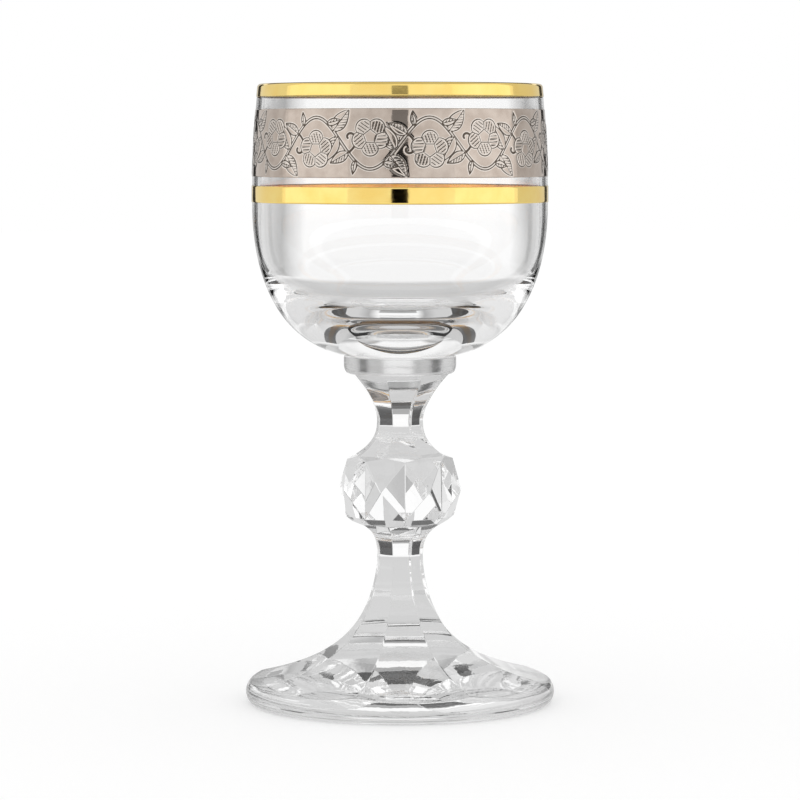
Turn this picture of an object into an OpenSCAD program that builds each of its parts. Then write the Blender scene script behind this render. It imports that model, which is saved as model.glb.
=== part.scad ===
// Cordial glass: a blown bowl with fired gold and platinum bands, fused to a
// pressed crystal stem with flat panels, a diamond-point knop and a flared foot.
// Millimetres, +Z up. The origin is the centre of the ring that the foot stands on,
// and one flat panel of the stem faces -Y.

/* [Bowl] */
// Height of the bowl, from its seat on the button to the top of the gilded lip
bowl_h = 45.9; // [40:0.05:52]
// Height of the widest line above the seat
belly_rise = 25.9; // [23:0.05:26.5]
// Outer diameter at the widest line
belly_d = 50; // [47:0.5:54]
// Outer diameter at the lip
rim_d = 48; // [45:0.5:49.5]
// Diameter of the flat seat where the bowl is fused to the button
bowl_seat_d = 18.4; // [15:0.1:19]
// Wall thickness at the widest line
wall = 1.2; // [0.9:0.05:1.8]
// Wall thickness at the lip, which is fully rounded
lip_wall = 1.1; // [0.8:0.05:1.5]
// Thickness of the solid base inside the bowl
base_t = 4.3; // [2.5:0.1:6]

/* [Metal bands] */
// Height of the gold over the lip, on the outside
rim_band_h = 2.2; // [1.2:0.1:3]
// Height of the gold over the lip, on the inside
rim_inside_h = 0.9; // [0.7:0.1:2]
// Clear glass between the lip gold and the frieze
upper_gap = 2.1; // [1:0.1:3]
// Height of the platinum frieze
frieze_h = 11.3; // [8:0.1:12]
// Clear glass between the frieze and the lower gold band
lower_gap = 1.5; // [0.8:0.1:1.8]
// Height of the lower gold band
gold_band_h = 2.8; // [1.5:0.1:3]
// Thickness of the fired gold
gold_t = 0.1; // [0.08:0.01:0.2]
// Thickness of the fired platinum over its raised ground
platinum_t = 0.12; // [0.08:0.01:0.25]

/* [Stem] */
// Number of flat panels round the stem, foot and knop
panels = 8; // [6:2:12]
// Diameter of the round button under the bowl
button_d = 19.06; // [19.06:0.1:22]
// Height of the button
button_h = 3; // [2.5:0.05:5]
// How far in the button's rounded lower edge reaches
button_round = 0.85; // [0.4:0.05:1.2]
// How far up the button's rounded lower edge reaches
button_round_h = 1.5; // [0.6:0.1:2]
// Rounding of the button's upper edge
button_top_round = 0.3; // [0.1:0.05:0.3]
// Height of the upper stem, from the knop to the button
upper_stem_h = 13.9; // [11:0.1:18]
// Height of the upper stem's waist above the knop
upper_waist_rise = 6; // [4:0.1:8]
// Width across flats at the upper stem's waist
upper_waist_w = 7.56; // [6:0.1:9]
// Height of the lower stem, from the foot to the knop
lower_stem_h = 19.4; // [16:0.1:26]
// Depth of the lower stem's waist below the knop
lower_waist_drop = 5.8; // [4:0.1:8]
// Width across flats at the lower stem's waist
lower_waist_w = 7.56; // [6:0.1:9]

/* [Knop] */
// Diameter over the tips of the diamond points
knop_d = 21.7; // [20.5:0.1:25]
// Diameter over the corners of the ring above the points
knop_top_d = 18.04; // [17:0.1:19]
// Diameter over the corners of the ring below the points
knop_bottom_d = 18.5; // [17.5:0.1:19.5]
// Diameter over the corners of the ring under the lower chamfer
knop_under_d = 16.2; // [15:0.1:17]
// Height from the lower ring to the tips
knop_lower_h = 4.9; // [3:0.1:7]
// Height from the tips to the upper ring
knop_upper_h = 4.9; // [3:0.1:7]
// Height of the chamfer below the lower ring
knop_chamfer_h = 0.9; // [0.6:0.1:2]
// Rise of the shoulder from the upper ring to the upper stem
shoulder_h = 0.6; // [0.3:0.05:1.2]
// Rise of the underside from the lower stem to the chamfer
underside_h = 0.5; // [0.3:0.05:1]
// Ledge between the upper ring and the corners of the upper stem
shoulder_ledge = 0.5; // [0.3:0.05:1]
// Ledge between the chamfer and the corners of the lower stem
underside_ledge = 0.63; // [0.3:0.01:1.2]

/* [Foot] */
// Largest diameter of the foot
foot_d = 52.6; // [48:0.1:58]
// Height of the foot, from the table to the lower stem
foot_h = 11; // [8:0.1:14]
// Height at which the panels reach the foot's rim
foot_edge_h = 3.5; // [2.8:0.1:4.5]
// Height of the rim's widest line
rim_line_h = 1.9; // [1.2:0.1:2.4]
// How far in the rounded upper edge of the rim reaches
rim_round_w = 3.3; // [2.5:0.1:4]
// How far the rounded edge reaches above the panels' ends
rim_rise = 1.2; // [1:0.05:1.6]
// Outer diameter of the flat ring that the foot stands on
rest_d = 49.8; // [47:0.1:51]
// Diameter of the shallow hollow under the foot
hollow_d = 45; // [38:0.5:46]
// Depth of the hollow under the foot
hollow_h = 1.2; // [0.5:0.1:2]

/* [Hidden] */
$fn = 120;

crystal = [0.86, 0.90, 0.92, 0.45];
gold = [0.93, 0.74, 0.32];
platinum = [0.70, 0.64, 0.58];

// Every cut runs this far past the solid it cuts
overrun = 1;
// The corners of the upper stem stop this far inside the button's flat underside
button_inset = 0.05;

// How the bowl's outline falls away below the widest line, outside and inside
outer_fall_power = 2.17;
outer_round_power = 3;
inner_fall_power = 2.4;
inner_round_power = 2.5;
// How the walls draw in above the widest line
draw_in_power = 2;
// How each end of the stem spreads from its waist
upper_flare_power = 1.65;
shoulder_flare_power = 2.6;
underside_flare_power = 3.2;
// How the lower stem runs out into the foot: slow at the waist, then wide
foot_flare_power = 1.5;
foot_flare_pull = 3.4;
// Crowds the steps of the foot's curve towards its rim
rim_crowding_power = 1.6;

// Heights closer than this count as one
same_height = 0.001;

// Steps in each curve
body_steps = 22;
wall_steps = 12;
lip_steps = 8;
flare_steps = 12;
round_steps = 8;

// Heights of the joints between the pieces, from the table up
knop_h = underside_h + knop_chamfer_h + knop_lower_h + knop_upper_h + shoulder_h;
knop_z = foot_h + lower_stem_h;
upper_stem_z = knop_z + knop_h;
button_z = upper_stem_z + upper_stem_h;
bowl_z = button_z + button_h;
glass_h = bowl_z + bowl_h;

// Half the angle between two ridges, and the flat's share of a ridge's radius
half_panel = 180 / panels;
flat_share = cos(half_panel);

belly_r = belly_d / 2;
rim_r = rim_d / 2;
belly_z = bowl_z + belly_rise;
lip_r = lip_wall / 2;
lip_z = glass_h - gold_t - lip_r;
foot_r = foot_d / 2;

rim_band_z = glass_h - rim_band_h;
rim_inside_z = glass_h - rim_inside_h;
frieze_top_z = rim_band_z - upper_gap;
frieze_z = frieze_top_z - frieze_h;
gold_band_top_z = frieze_z - lower_gap;
gold_band_z = gold_band_top_z - gold_band_h;

// Ridge radius where each stem meets the knop, and where the upper one meets the button
shoulder_r = knop_top_d / 2 * flat_share - shoulder_ledge;
underside_r = knop_under_d / 2 * flat_share - underside_ledge;
button_seat_r = button_d / 2 - button_round - button_inset;

// Evenly spaced values from one to another, both included
function steps(from, to, count) = [for (i = [0:count]) from + (to - from) * i / count];

// Every point of a list, last first
function backwards(points) = [for (i = [len(points) - 1:-1:0]) points[i]];

// Numbers in rising order, with those that are the same but for rounding kept once
function rising(values) =
    len(values) < 2 ? values :
    let (
        middle = values[floor(len(values) / 2)],
        less = [for (v = values) if (v < middle - same_height) v],
        more = [for (v = values) if (v > middle + same_height) v])
    concat(rising(less), [middle], rising(more));

// The part of a rising list between two values, both included
function between(values, low, high) =
    [for (v = values) if (v > low - same_height && v < high + same_height) v];

// Radius of the bowl's body below the widest line, as a share of the belly's: 1 at that
// line, and 0 at the full depth
function fall_share(depth_share, fall, round) =
    pow(max(0, 1 - pow(depth_share, fall)), 1 / round);

// The outside stops short of its full depth, where it is as wide as its seat
seat_depth_share =
    pow(1 - pow(bowl_seat_d / belly_d, outer_round_power), 1 / outer_fall_power);

// Radius of a wall above the widest line
function draw_in(z, at_belly, at_lip) =
    at_belly - (at_belly - at_lip) * pow((z - belly_z) / (lip_z - belly_z), draw_in_power);

// Radius of the bowl at any height, outside and inside
inner_bottom_z = bowl_z + base_t;
inner_depth = belly_z - inner_bottom_z;
function outside_r(z) =
    z > belly_z ? draw_in(z, belly_r, rim_r) :
    belly_r * fall_share((belly_z - z) / belly_rise * seat_depth_share,
                         outer_fall_power, outer_round_power);
function inside_r(z) =
    z > belly_z ? draw_in(z, belly_r - wall, rim_r - lip_wall) :
    (belly_r - wall) * fall_share((belly_z - z) / inner_depth,
                                  inner_fall_power, inner_round_power);

// Heights of the points of each outline. Below the widest line they are even in angle,
// so that they lie close together where the outline turns. Each edge of a band is one
// of them, so the bands follow the same outline as the glass under them.
function bowl_heights(depth, edges) = rising(concat(
    [for (a = steps(0, 90, body_steps)) belly_z - depth * cos(a)],
    steps(belly_z, lip_z, wall_steps),
    edges));
outside_heights = bowl_heights(belly_rise,
    [gold_band_z, gold_band_top_z, frieze_z, frieze_top_z, rim_band_z]);
inside_heights = bowl_heights(inner_depth, [rim_inside_z]);

// Points of the outside and the inside between two heights, a coat's thickness out
function outside_points(low, high, out = 0) =
    [for (z = between(outside_heights, low, high)) [outside_r(z) + out, z]];
function inside_points(low, high, out = 0) =
    [for (z = between(inside_heights, low, high)) [inside_r(z) - out, z]];

// Points over the rounded lip, from the outside to the inside, a coat's thickness out
function lip_points(out = 0) =
    [for (a = steps(0, 180, lip_steps))
        [rim_r - lip_r + (lip_r + out) * cos(a), lip_z + (lip_r + out) * sin(a)]];

// The curve that runs from the lower waist, at share 0 of its height, out to the foot's
// rim, at share 1: distance from the axis to the flats, and height
lower_waist_z = knop_z - lower_waist_drop;
flare_drop = lower_waist_z - foot_edge_h;
foot_joint_share = (lower_waist_z - foot_h) / flare_drop;
function foot_flare(run_share) =
    [lower_waist_w / 2 + (foot_r - lower_waist_w / 2)
        * pow(run_share, foot_flare_power) / (1 + foot_flare_pull * (1 - run_share)),
     lower_waist_z - flare_drop * run_share];

// Points of a flare that spreads from a waist to an end, waist first
function flare_points(waist_z, waist_r, end_z, end_r, power) =
    [for (t = steps(0, 1, flare_steps))
        [waist_r + (end_r - waist_r) * pow(t, power), waist_z + (end_z - waist_z) * t]];

// A solid with flat panels all round: slabs with the same outline, one for each pair of
// opposite panels, cut each other. The points are flat distance and height, bottom first.
module panelled(points) {
    outline = concat(points, [for (p = backwards(points)) [-p[0], p[1]]]);
    intersection_for (k = [0:panels / 2 - 1])
        rotate([90, 0, 2 * half_panel * k])
            linear_extrude(height = 2 * foot_d, center = true)
                polygon(outline);
}

module bowl() {
    // The lowest point inside lies on the axis itself, whatever rounding says
    inside = [for (p = inside_points(inner_bottom_z, lip_z))
        if (p[1] > inner_bottom_z + same_height) p];
    color(crystal)
        rotate_extrude()
            polygon(concat(
                [[0, bowl_z]],
                outside_points(bowl_z, lip_z),
                lip_points(),
                backwards(inside),
                [[0, inner_bottom_z]]));
}

// A fired coat on the outside of the bowl
module coat(low, high, thick) {
    rotate_extrude()
        polygon(concat(
            outside_points(low, high, thick),
            backwards(outside_points(low, high))));
}

module gold_band() {
    color(gold)
        coat(gold_band_z, gold_band_top_z, gold_t);
}

module platinum_frieze() {
    color(platinum)
        coat(frieze_z, frieze_top_z, platinum_t);
}

module rim_gilding() {
    color(gold)
        rotate_extrude()
            polygon(concat(
                outside_points(rim_band_z, lip_z, gold_t),
                lip_points(gold_t),
                backwards(inside_points(rim_inside_z, lip_z, gold_t)),
                inside_points(rim_inside_z, lip_z),
                backwards(lip_points()),
                backwards(outside_points(rim_band_z, lip_z))));
}

module stem_button() {
    radius = button_d / 2;
    lower_edge = [for (a = steps(0, 90, round_steps))
        [radius - button_round * (1 - sin(a)), button_z + button_round_h * (1 - cos(a))]];
    upper_edge = [for (a = steps(0, 90, round_steps))
        [radius - button_top_round * (1 - cos(a)), bowl_z - button_top_round * (1 - sin(a))]];
    color(crystal)
        rotate_extrude()
            polygon(concat([[0, button_z]], lower_edge, upper_edge, [[0, bowl_z]]));
}

module upper_stem() {
    waist_z = upper_stem_z + upper_waist_rise;
    waist_r = upper_waist_w / 2;
    below = flare_points(waist_z, waist_r, upper_stem_z, shoulder_r * flat_share,
                         shoulder_flare_power);
    above = flare_points(waist_z, waist_r, button_z, button_seat_r * flat_share,
                         upper_flare_power);
    color(crystal)
        panelled(concat(backwards(below), [for (i = [1:flare_steps]) above[i]]));
}

// A ring of four-sided points. The rings above and below them have their corners on the
// middles of the stem's panels, and the tips and the stem's own corners lie between.
module knop() {
    under_z = knop_z + underside_h;
    lower_z = under_z + knop_chamfer_h;
    tip_z = lower_z + knop_lower_h;
    upper_z = tip_z + knop_upper_h;
    // Radius, height and turn of each ring, top first
    rings = [
        [shoulder_r, upper_stem_z, half_panel],
        [knop_top_d / 2, upper_z, 0],
        [knop_d / 2, tip_z, half_panel],
        [knop_bottom_d / 2, lower_z, 0],
        [knop_under_d / 2, under_z, 0],
        [underside_r, knop_z, half_panel]];
    points = [for (ring = rings, k = [0:panels - 1])
        let (turn = 2 * half_panel * k + ring[2])
        [ring[0] * cos(turn), ring[0] * sin(turn), ring[1]]];
    // Number of the first corner in each ring
    neck = 0;
    upper = panels;
    tip = 2 * panels;
    lower = 3 * panels;
    under = 4 * panels;
    base = 5 * panels;
    sides = [for (k = [0:panels - 1])
        let (next = (k + 1) % panels)
        each [
            // Shoulder
            [neck + k, upper + next, upper + k],
            [neck + k, neck + next, upper + next],
            // The four faces of one point
            [upper + k, upper + next, tip + k],
            [tip + k, lower + next, lower + k],
            [tip + k, lower + k, upper + k],
            [lower + next, tip + k, upper + next],
            // Chamfer and underside
            [lower + k, lower + next, under + next, under + k],
            [under + k, under + next, base + k],
            [under + next, base + next, base + k]]];
    neck_face = [for (k = [panels - 1:-1:0]) neck + k];
    base_face = [for (k = [0:panels - 1]) base + k];
    color(crystal)
        polyhedron(points, concat([neck_face], sides, [base_face]));
}

module lower_stem() {
    waist_r = lower_waist_w / 2;
    below = [for (run_share = steps(0, foot_joint_share, flare_steps)) foot_flare(run_share)];
    above = flare_points(lower_waist_z, waist_r, knop_z, underside_r * flat_share,
                         underside_flare_power);
    color(crystal)
        panelled(concat(backwards(below), [for (i = [1:flare_steps]) above[i]]));
}

// The flared panels run out to a round rim, so that the rim's upper edge is scalloped
module foot() {
    flare = [for (t = steps(0, 1, flare_steps))
        foot_flare(1 - (1 - foot_joint_share) * pow(t, rim_crowding_power))];
    skirt = [[foot_r + overrun, -overrun], [foot_r + overrun, foot_edge_h]];
    edge_top_z = foot_edge_h + rim_rise;
    hollow_r = hollow_d / 2;
    rest_r = rest_d / 2;
    hollow = [for (t = steps(0, 1, round_steps)) [hollow_r * t, hollow_h * (1 - t * t)]];
    lower_round = [for (a = steps(0, 90, round_steps))
        [rest_r + (foot_r - rest_r) * sin(a), rim_line_h * (1 - cos(a))]];
    upper_round = [for (a = steps(0, 90, round_steps))
        [foot_r - rim_round_w * (1 - cos(a)), rim_line_h + (edge_top_z - rim_line_h) * sin(a)]];
    lid_z = foot_h + overrun;
    color(crystal)
        intersection() {
            panelled(concat(skirt, flare));
            rotate_extrude()
                polygon(concat(hollow, lower_round, upper_round,
                               [[foot_r - rim_round_w, lid_z], [0, lid_z]]));
        }
}

foot();
lower_stem();
knop();
upper_stem();
stem_button();
bowl();
gold_band();
platinum_frieze();
rim_gilding();
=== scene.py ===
# %% [markdown]
# # A cordial glass with fired gold and platinum
#
# The real glass is a small blown bowl fused to a pressed crystal stem. Eight flat
# panels run down the stem, break round a ring of diamond points, and flare out into
# the foot. The bowl wears three fired coats: gold over the lip, platinum over a raised
# flower scroll, and a plain gold band.
#
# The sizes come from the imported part, which this script loads first. Shapes are worked
# out in millimetres and turned into metres when a mesh is made.

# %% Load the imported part
import math
import bmesh
import bpy
import numpy as np
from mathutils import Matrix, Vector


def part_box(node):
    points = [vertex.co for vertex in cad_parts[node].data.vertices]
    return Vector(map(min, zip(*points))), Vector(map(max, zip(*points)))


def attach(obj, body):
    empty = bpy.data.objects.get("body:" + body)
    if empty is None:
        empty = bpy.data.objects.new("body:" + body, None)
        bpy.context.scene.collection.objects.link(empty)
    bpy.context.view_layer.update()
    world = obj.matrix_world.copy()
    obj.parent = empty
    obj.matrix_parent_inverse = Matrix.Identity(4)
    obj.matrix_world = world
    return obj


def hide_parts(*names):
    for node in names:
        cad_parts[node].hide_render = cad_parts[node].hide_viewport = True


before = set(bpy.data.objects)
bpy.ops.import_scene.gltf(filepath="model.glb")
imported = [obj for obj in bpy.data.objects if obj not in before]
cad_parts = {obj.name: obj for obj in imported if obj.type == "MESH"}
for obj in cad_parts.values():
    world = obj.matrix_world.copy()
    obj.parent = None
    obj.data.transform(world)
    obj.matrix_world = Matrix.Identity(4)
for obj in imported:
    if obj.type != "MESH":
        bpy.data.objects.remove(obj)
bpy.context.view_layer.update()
mm = 0.001
print("nodes:", ", ".join(sorted(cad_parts)))

# %% [markdown]
# ## Measure the part
#
# Every visible piece here stands exactly where its solid stands, so its heights and
# widths are read from that solid instead of being typed again. Each solid lists its
# corner points. Sorted by height they give its levels, and the farthest point from the
# axis at a level gives the radius there.

# %% Read heights and radii
same_level = 0.02


def corner_points(node):
    """Height and distance from the axis of each corner of a solid, in millimetres."""
    corners = np.array([v.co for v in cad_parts[node].data.vertices], float) / mm
    return corners[:, 2], np.hypot(corners[:, 0], corners[:, 1])


def levels(node):
    """Each height at which a solid has corners, with its radius there, lowest first."""
    heights, radii = corner_points(node)
    found = []
    for z in sorted(set(np.round(heights, 2))):
        found.append((float(z), float(radii[np.abs(heights - z) < same_level].max())))
    return found


def span(node):
    """Lowest and highest point of a solid, in millimetres."""
    low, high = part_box(node)
    return low.z / mm, high.z / mm


foot_top = span("foot")[1]
knop_low, knop_high = span("knop")
button_low, seat_z = span("stem_button")
gold_low, gold_high = span("gold_band")
frieze_low, frieze_high = span("platinum_frieze")
rim_low, glass_top = span("rim_gilding")
print(f"the glass is {glass_top:.1f} mm tall, and its seat is at {seat_z:.2f} mm")

# %% [markdown]
# ## From rings of points to a closed piece
#
# Stems, button and foot are stacks of rings, so one helper takes rings of points and
# closes them. It also takes the exact normal at each point: clear glass bends light by
# its normals, and exact ones keep two neighbouring pieces looking like one.
#
# The pressed stem is one piece of crystal in real life, and only its names are
# separate here. Where two of its pieces meet, each ends in a flat cap. A cap isn't a
# surface that light would notice, so it gets a finish of its own that lets light
# straight through. The two caps of a joint lie a hair apart, because a renderer can't
# tell which of two faces in one place comes first.
#
# The bowl was blown on its own, and where it is fused to the button the joint shows, as
# a bright disc with a dark ring. So the button ends in a seat: a flat face of plain
# crystal, a hair below the flat face of the bowl.

# %% Close a stack of rings into a piece
CRYSTAL_SLOT, JOINT_SLOT = 0, 1
joint_gap = 0.002
DOWN, UP = (0.0, 0.0, -1.0), (0.0, 0.0, 1.0)


def unit(vectors):
    """The same directions at length 1."""
    return vectors / np.linalg.norm(vectors, axis=-1, keepdims=True)


def at_height(flat_points, z):
    """Points in the plane of the table, each with the same third coordinate."""
    return np.column_stack([flat_points, np.full(len(flat_points), z)])


def place_object(name, data):
    """A new object in the scene."""
    made = bpy.data.objects.new(name, data)
    bpy.context.scene.collection.objects.link(made)
    return made


def mesh_in_metres(name, points, faces, edges=()):
    """A mesh from points in millimetres."""
    mesh = bpy.data.meshes.new(name)
    mesh.from_pydata((np.array(points) * mm).tolist(), list(edges), faces)
    return mesh


def build_mesh(name, points, faces, corner_normals, slots):
    """A smooth piece with a given normal at each corner of each face."""
    mesh = mesh_in_metres(name, points, faces)
    mesh.polygons.foreach_set("use_smooth", [True] * len(faces))
    mesh.polygons.foreach_set("material_index", slots)
    mesh.normals_split_custom_set([n for face in corner_normals for n in face])
    mesh.update()
    return place_object(name, mesh)


def close_rings(name, rings, normals, low_end, high_end):
    """A closed piece from rings of points, lowest first. An end is a "joint" that light
    passes straight, a "seat" of plain crystal, or a "pole" with a point in its middle."""
    rows, columns = rings.shape[:2]
    rings = rings.copy()
    if low_end == "joint":
        rings[0, :, 2] += joint_gap
    if high_end in ("joint", "seat"):
        rings[-1, :, 2] -= joint_gap
    points = [tuple(p) for p in rings.reshape(-1, 3)]
    flat_normals = [tuple(n) for n in normals.reshape(-1, 3)]
    faces, corner_normals, slots = [], [], []

    def add(face, face_normals, slot=CRYSTAL_SLOT):
        faces.append(face)
        corner_normals.append(face_normals)
        slots.append(slot)

    for row in range(rows - 1):
        for column in range(columns):
            beside = (column + 1) % columns
            face = (row * columns + column, row * columns + beside,
                    (row + 1) * columns + beside, (row + 1) * columns + column)
            add(face, [flat_normals[i] for i in face])
    for end, row, way in ((low_end, 0, DOWN), (high_end, rows - 1, UP)):
        ring = [row * columns + column for column in range(columns)]
        if way == DOWN:
            ring.reverse()
        if end in ("joint", "seat"):
            add(tuple(ring), [way] * columns, JOINT_SLOT if end == "joint" else CRYSTAL_SLOT)
            continue
        middle = len(points)
        points.append((0.0, 0.0, float(rings[row, 0, 2])))
        for this, following in zip(ring, ring[1:] + ring[:1]):
            add((middle, this, following), [way, flat_normals[this], flat_normals[following]])
    return build_mesh(name, points, faces, corner_normals, slots)


# %% [markdown]
# ## Finishes: clear crystal
#
# Crystal has no colour of its own here. What makes it look like glass is what it shows
# of its surroundings, so it is a Principled shader with full transmission, the
# refraction of crystal, and hardly any roughness. Hot glass is never quite flat: a
# press leaves slow waves, and a polishing flame leaves small ones. A node group makes
# those waves from noise on Object coordinates, and the metals use the same group,
# because gold fired on a wavy wall shows the waves too.

# %% Node group: slow waves of hot glass
def feed(tree, node, values):
    """Gives inputs of a node, by label or number, a value or another node's output."""
    for label, value in values.items():
        if isinstance(value, bpy.types.NodeSocket):
            tree.links.new(value, node.inputs[label])
        else:
            node.inputs[label].default_value = value


def new_group(name, inputs, outputs):
    """An empty shader group with its input and output nodes."""
    group = bpy.data.node_groups.new(name, "ShaderNodeTree")
    for label, value in inputs.items():
        socket = group.interface.new_socket(label, in_out="INPUT", socket_type="NodeSocketFloat")
        socket.default_value = value
    for label, kind in outputs.items():
        group.interface.new_socket(label, in_out="OUTPUT", socket_type=kind)
    return group, group.nodes.new("NodeGroupInput"), group.nodes.new("NodeGroupOutput")


def noise(tree, place, scale, detail):
    """A noise texture's value at a place. The scale is a number or a socket."""
    node = tree.nodes.new("ShaderNodeTexNoise")
    feed(tree, node, {"Vector": place, "Scale": scale, "Detail": detail})
    return node.outputs["Fac"]


def math_node(tree, operation, *values):
    """A Math node's output. Each value is a number or a socket."""
    node = tree.nodes.new("ShaderNodeMath")
    node.operation = operation
    feed(tree, node, dict(enumerate(values)))
    return node.outputs[0]


def make_waves_group():
    """Slow waves and, on them, smaller ones that are a sixth as long."""
    group, given, result = new_group(
        "slow waves of hot glass",
        {"Waves per metre": 90.0, "Fine share": 0.15},
        {"Height": "NodeSocketFloat"})
    place = group.nodes.new("ShaderNodeTexCoord").outputs["Object"]
    slow = noise(group, place, given.outputs["Waves per metre"], detail=1.0)
    quick = math_node(group, "MULTIPLY", given.outputs["Waves per metre"], 6.0)
    fine = noise(group, place, quick, detail=1.0)
    height = math_node(group, "MULTIPLY_ADD", fine, given.outputs["Fine share"], slow)
    feed(group, result, {"Height": height})
    return group


waves_group = make_waves_group()


def new_material(name):
    """A node material, its tree and its Principled shader."""
    material = bpy.data.materials.new(name)
    material.use_nodes = True
    return material, material.node_tree, material.node_tree.nodes["Principled BSDF"]


def add_group(tree, group, values):
    """A node that runs a group with these values."""
    node = tree.nodes.new("ShaderNodeGroup")
    node.node_tree = group
    feed(tree, node, values)
    return node


def add_waves(tree, shader, waves_per_metre, fine_share, distance):
    """Feeds a shader's normal with the slow waves, as high as a distance in metres."""
    waves = add_group(tree, waves_group, {"Waves per metre": waves_per_metre,
                                          "Fine share": fine_share})
    bump = tree.nodes.new("ShaderNodeBump")
    feed(tree, bump, {"Strength": 1.0, "Distance": distance,
                      "Height": waves.outputs["Height"]})
    feed(tree, shader, {"Normal": bump.outputs["Normal"]})


# %% [markdown]
# ## Five crystals
#
# One shader gives five crystals. The blown bowl is the smoothest, and the pressed stem
# has stronger waves. The underside of the foot, which no flame reached, has the
# strongest, and the ring that the glass stands on is worn rough. The side of the button
# is softly rough where the mould closed on it, and its light grey is painted shade. The
# joints inside the pressing are fully transparent.

# %% Make the crystals, and the joints inside the pressing
crystal_ior = 1.54


def grey(value):
    """A colour without a hue."""
    return (value, value, value, 1.0)


WHITE, BLACK = grey(1.0), grey(0.0)


def make_crystal(name, waves_per_metre, fine_share, distance, roughness=0.0, clearness=1.0):
    """Crystal with waves as high as a distance in metres. Clearness is 1 without grey."""
    material, tree, shader = new_material(name)
    feed(tree, shader, {"Base Color": grey(clearness), "Roughness": roughness,
                        "IOR": crystal_ior, "Transmission Weight": 1.0})
    add_waves(tree, shader, waves_per_metre, fine_share, distance)
    return material


def make_fused_joint():
    """A finish that light passes as if nothing were there."""
    material, tree, shader = new_material("fused joint")
    feed(tree, shader, {"Base Color": WHITE, "Alpha": 0.0})
    return material


blown_crystal = make_crystal(
    "blown crystal", waves_per_metre=60.0, fine_share=0.05, distance=0.00002)
pressed_crystal = make_crystal(
    "pressed crystal", waves_per_metre=120.0, fine_share=0.2, distance=0.00003)
underside_crystal = make_crystal(
    "underside crystal", waves_per_metre=170.0, fine_share=0.1, distance=0.00007)
worn_crystal = make_crystal(
    "worn crystal", waves_per_metre=600.0, fine_share=0.3, distance=0.00003, roughness=0.18)
# The grey of this crystal (clearness below 1) is painted shade on the button's side.
moulded_crystal_painted_shade = make_crystal(
    "moulded crystal with painted shade", waves_per_metre=500.0, fine_share=0.5, distance=0.00004,
    roughness=0.25, clearness=0.86)
fused_joint = make_fused_joint()


def finish_glass(piece, crystal, *nodes):
    """Gives a glass piece its crystal and the joints' finish, and ties it to the part."""
    if not piece.data.materials:
        piece.data.materials.append(crystal)
    piece.data.materials.append(fused_joint)
    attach(piece, "root")
    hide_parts(*nodes)
    joints = sum(face.material_index == JOINT_SLOT for face in piece.data.polygons)
    print(piece.name, "has", len(piece.data.polygons), "faces,", joints, "in joints")


# %% [markdown]
# ## The panelled stem
#
# A section through the stem is an octagon whose corners are slightly rounded, because
# a pressed edge is softened by the polishing flame. Such a section is the sum of two
# simple shapes: a sharp octagon, scaled, and a small circle. So each column of points
# up the stem needs only two directions, one to its place on the sharp octagon and one
# that its surface faces. On a flat the second is fixed, and round a ridge it turns
# while the first stays at the corner.

# %% The columns of an eight-sided section
panel_count = 8
half_panel = math.pi / panel_count
flat_columns = 14
ridge_columns = 5
waist_ridge_round = 0.3
ridge_round_growth = 0.03


def around(angles):
    """Unit vectors in the plane of the table."""
    return np.stack([np.cos(angles), np.sin(angles)], axis=-1)


def make_columns():
    """For each column: its place on an octagon of flat distance 1, and where it faces."""
    places, facings = [], []
    for panel in range(panel_count):
        middle = 2 * half_panel * panel
        for share in np.linspace(-1, 1, flat_columns):
            side = around(np.array(middle + math.pi / 2))
            places.append(around(np.array(middle)) + share * math.tan(half_panel) * side)
            facings.append(around(np.array(middle)))
        for turn in np.linspace(0, 2 * half_panel, ridge_columns + 2)[1:-1]:
            places.append(around(np.array(middle + half_panel)) / math.cos(half_panel))
            facings.append(around(np.array(middle + turn)))
    return np.array(places), np.array(facings)


octagon_places, octagon_facings = make_columns()
octagon_reach = (octagon_places * octagon_facings).sum(axis=1)
print(len(octagon_places), "columns round the stem")


def ridge_round(flat, waist_flat):
    """Radius of the ridges where the flats stand this far from the axis."""
    return waist_ridge_round + ridge_round_growth * (flat - waist_flat)


def octagon_ring(flat, waist_flat):
    """Points of one section, in the plane of the table."""
    rounding = ridge_round(flat, waist_flat)
    return rounding * octagon_facings + (flat - rounding) * octagon_places


def panelled_wall(heights, flat_at, waist_flat):
    """Rings and exact normals of a panelled wall whose flats follow flat_at."""
    small = 1e-4
    rings, normals = [], []
    for z in heights:
        flat = flat_at(z)
        slope = (flat_at(z + small) - flat_at(z - small)) / (2 * small)
        spread = (octagon_reach * (1 - ridge_round_growth) + ridge_round_growth) * slope
        rings.append(at_height(octagon_ring(flat, waist_flat), z))
        normals.append(np.column_stack([octagon_facings, -spread]))
    return np.array(rings), unit(np.array(normals))


# %% [markdown]
# ## Upper and lower stem
#
# Each stem narrows to a waist and spreads again. The spread is a power of the height
# above the waist, and the power sets its character: a high one stays slim for long and
# turns out late, as under a shoulder, and a low one opens like a trumpet. The lower
# stem runs on into the foot by one curve, which starts slowly and ends nearly flat.

# %% How far the flats stand from the axis
upper_flare_power = 1.65
shoulder_flare_power = 2.6
underside_flare_power = 3.2
foot_flare_power = 1.5
foot_flare_pull = 3.4
foot_edge_z = 3.5


def waist_of(node):
    """Height and flat distance of a stem where it is narrowest."""
    z, radius = min(levels(node), key=lambda level: level[1])
    return z, radius * math.cos(half_panel)


def end_flat(node, end):
    """Flat distance at a stem's lower (0) or upper (-1) end."""
    return levels(node)[end][1] * math.cos(half_panel)


upper_waist_z, upper_waist_flat = waist_of("upper_stem")
lower_waist_z, lower_waist_flat = waist_of("lower_stem")
shoulder_flat = end_flat("upper_stem", 0)
button_flat = end_flat("upper_stem", -1)
underside_flat = end_flat("lower_stem", -1)
foot_radius = max(radius for _, radius in levels("foot"))


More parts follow.
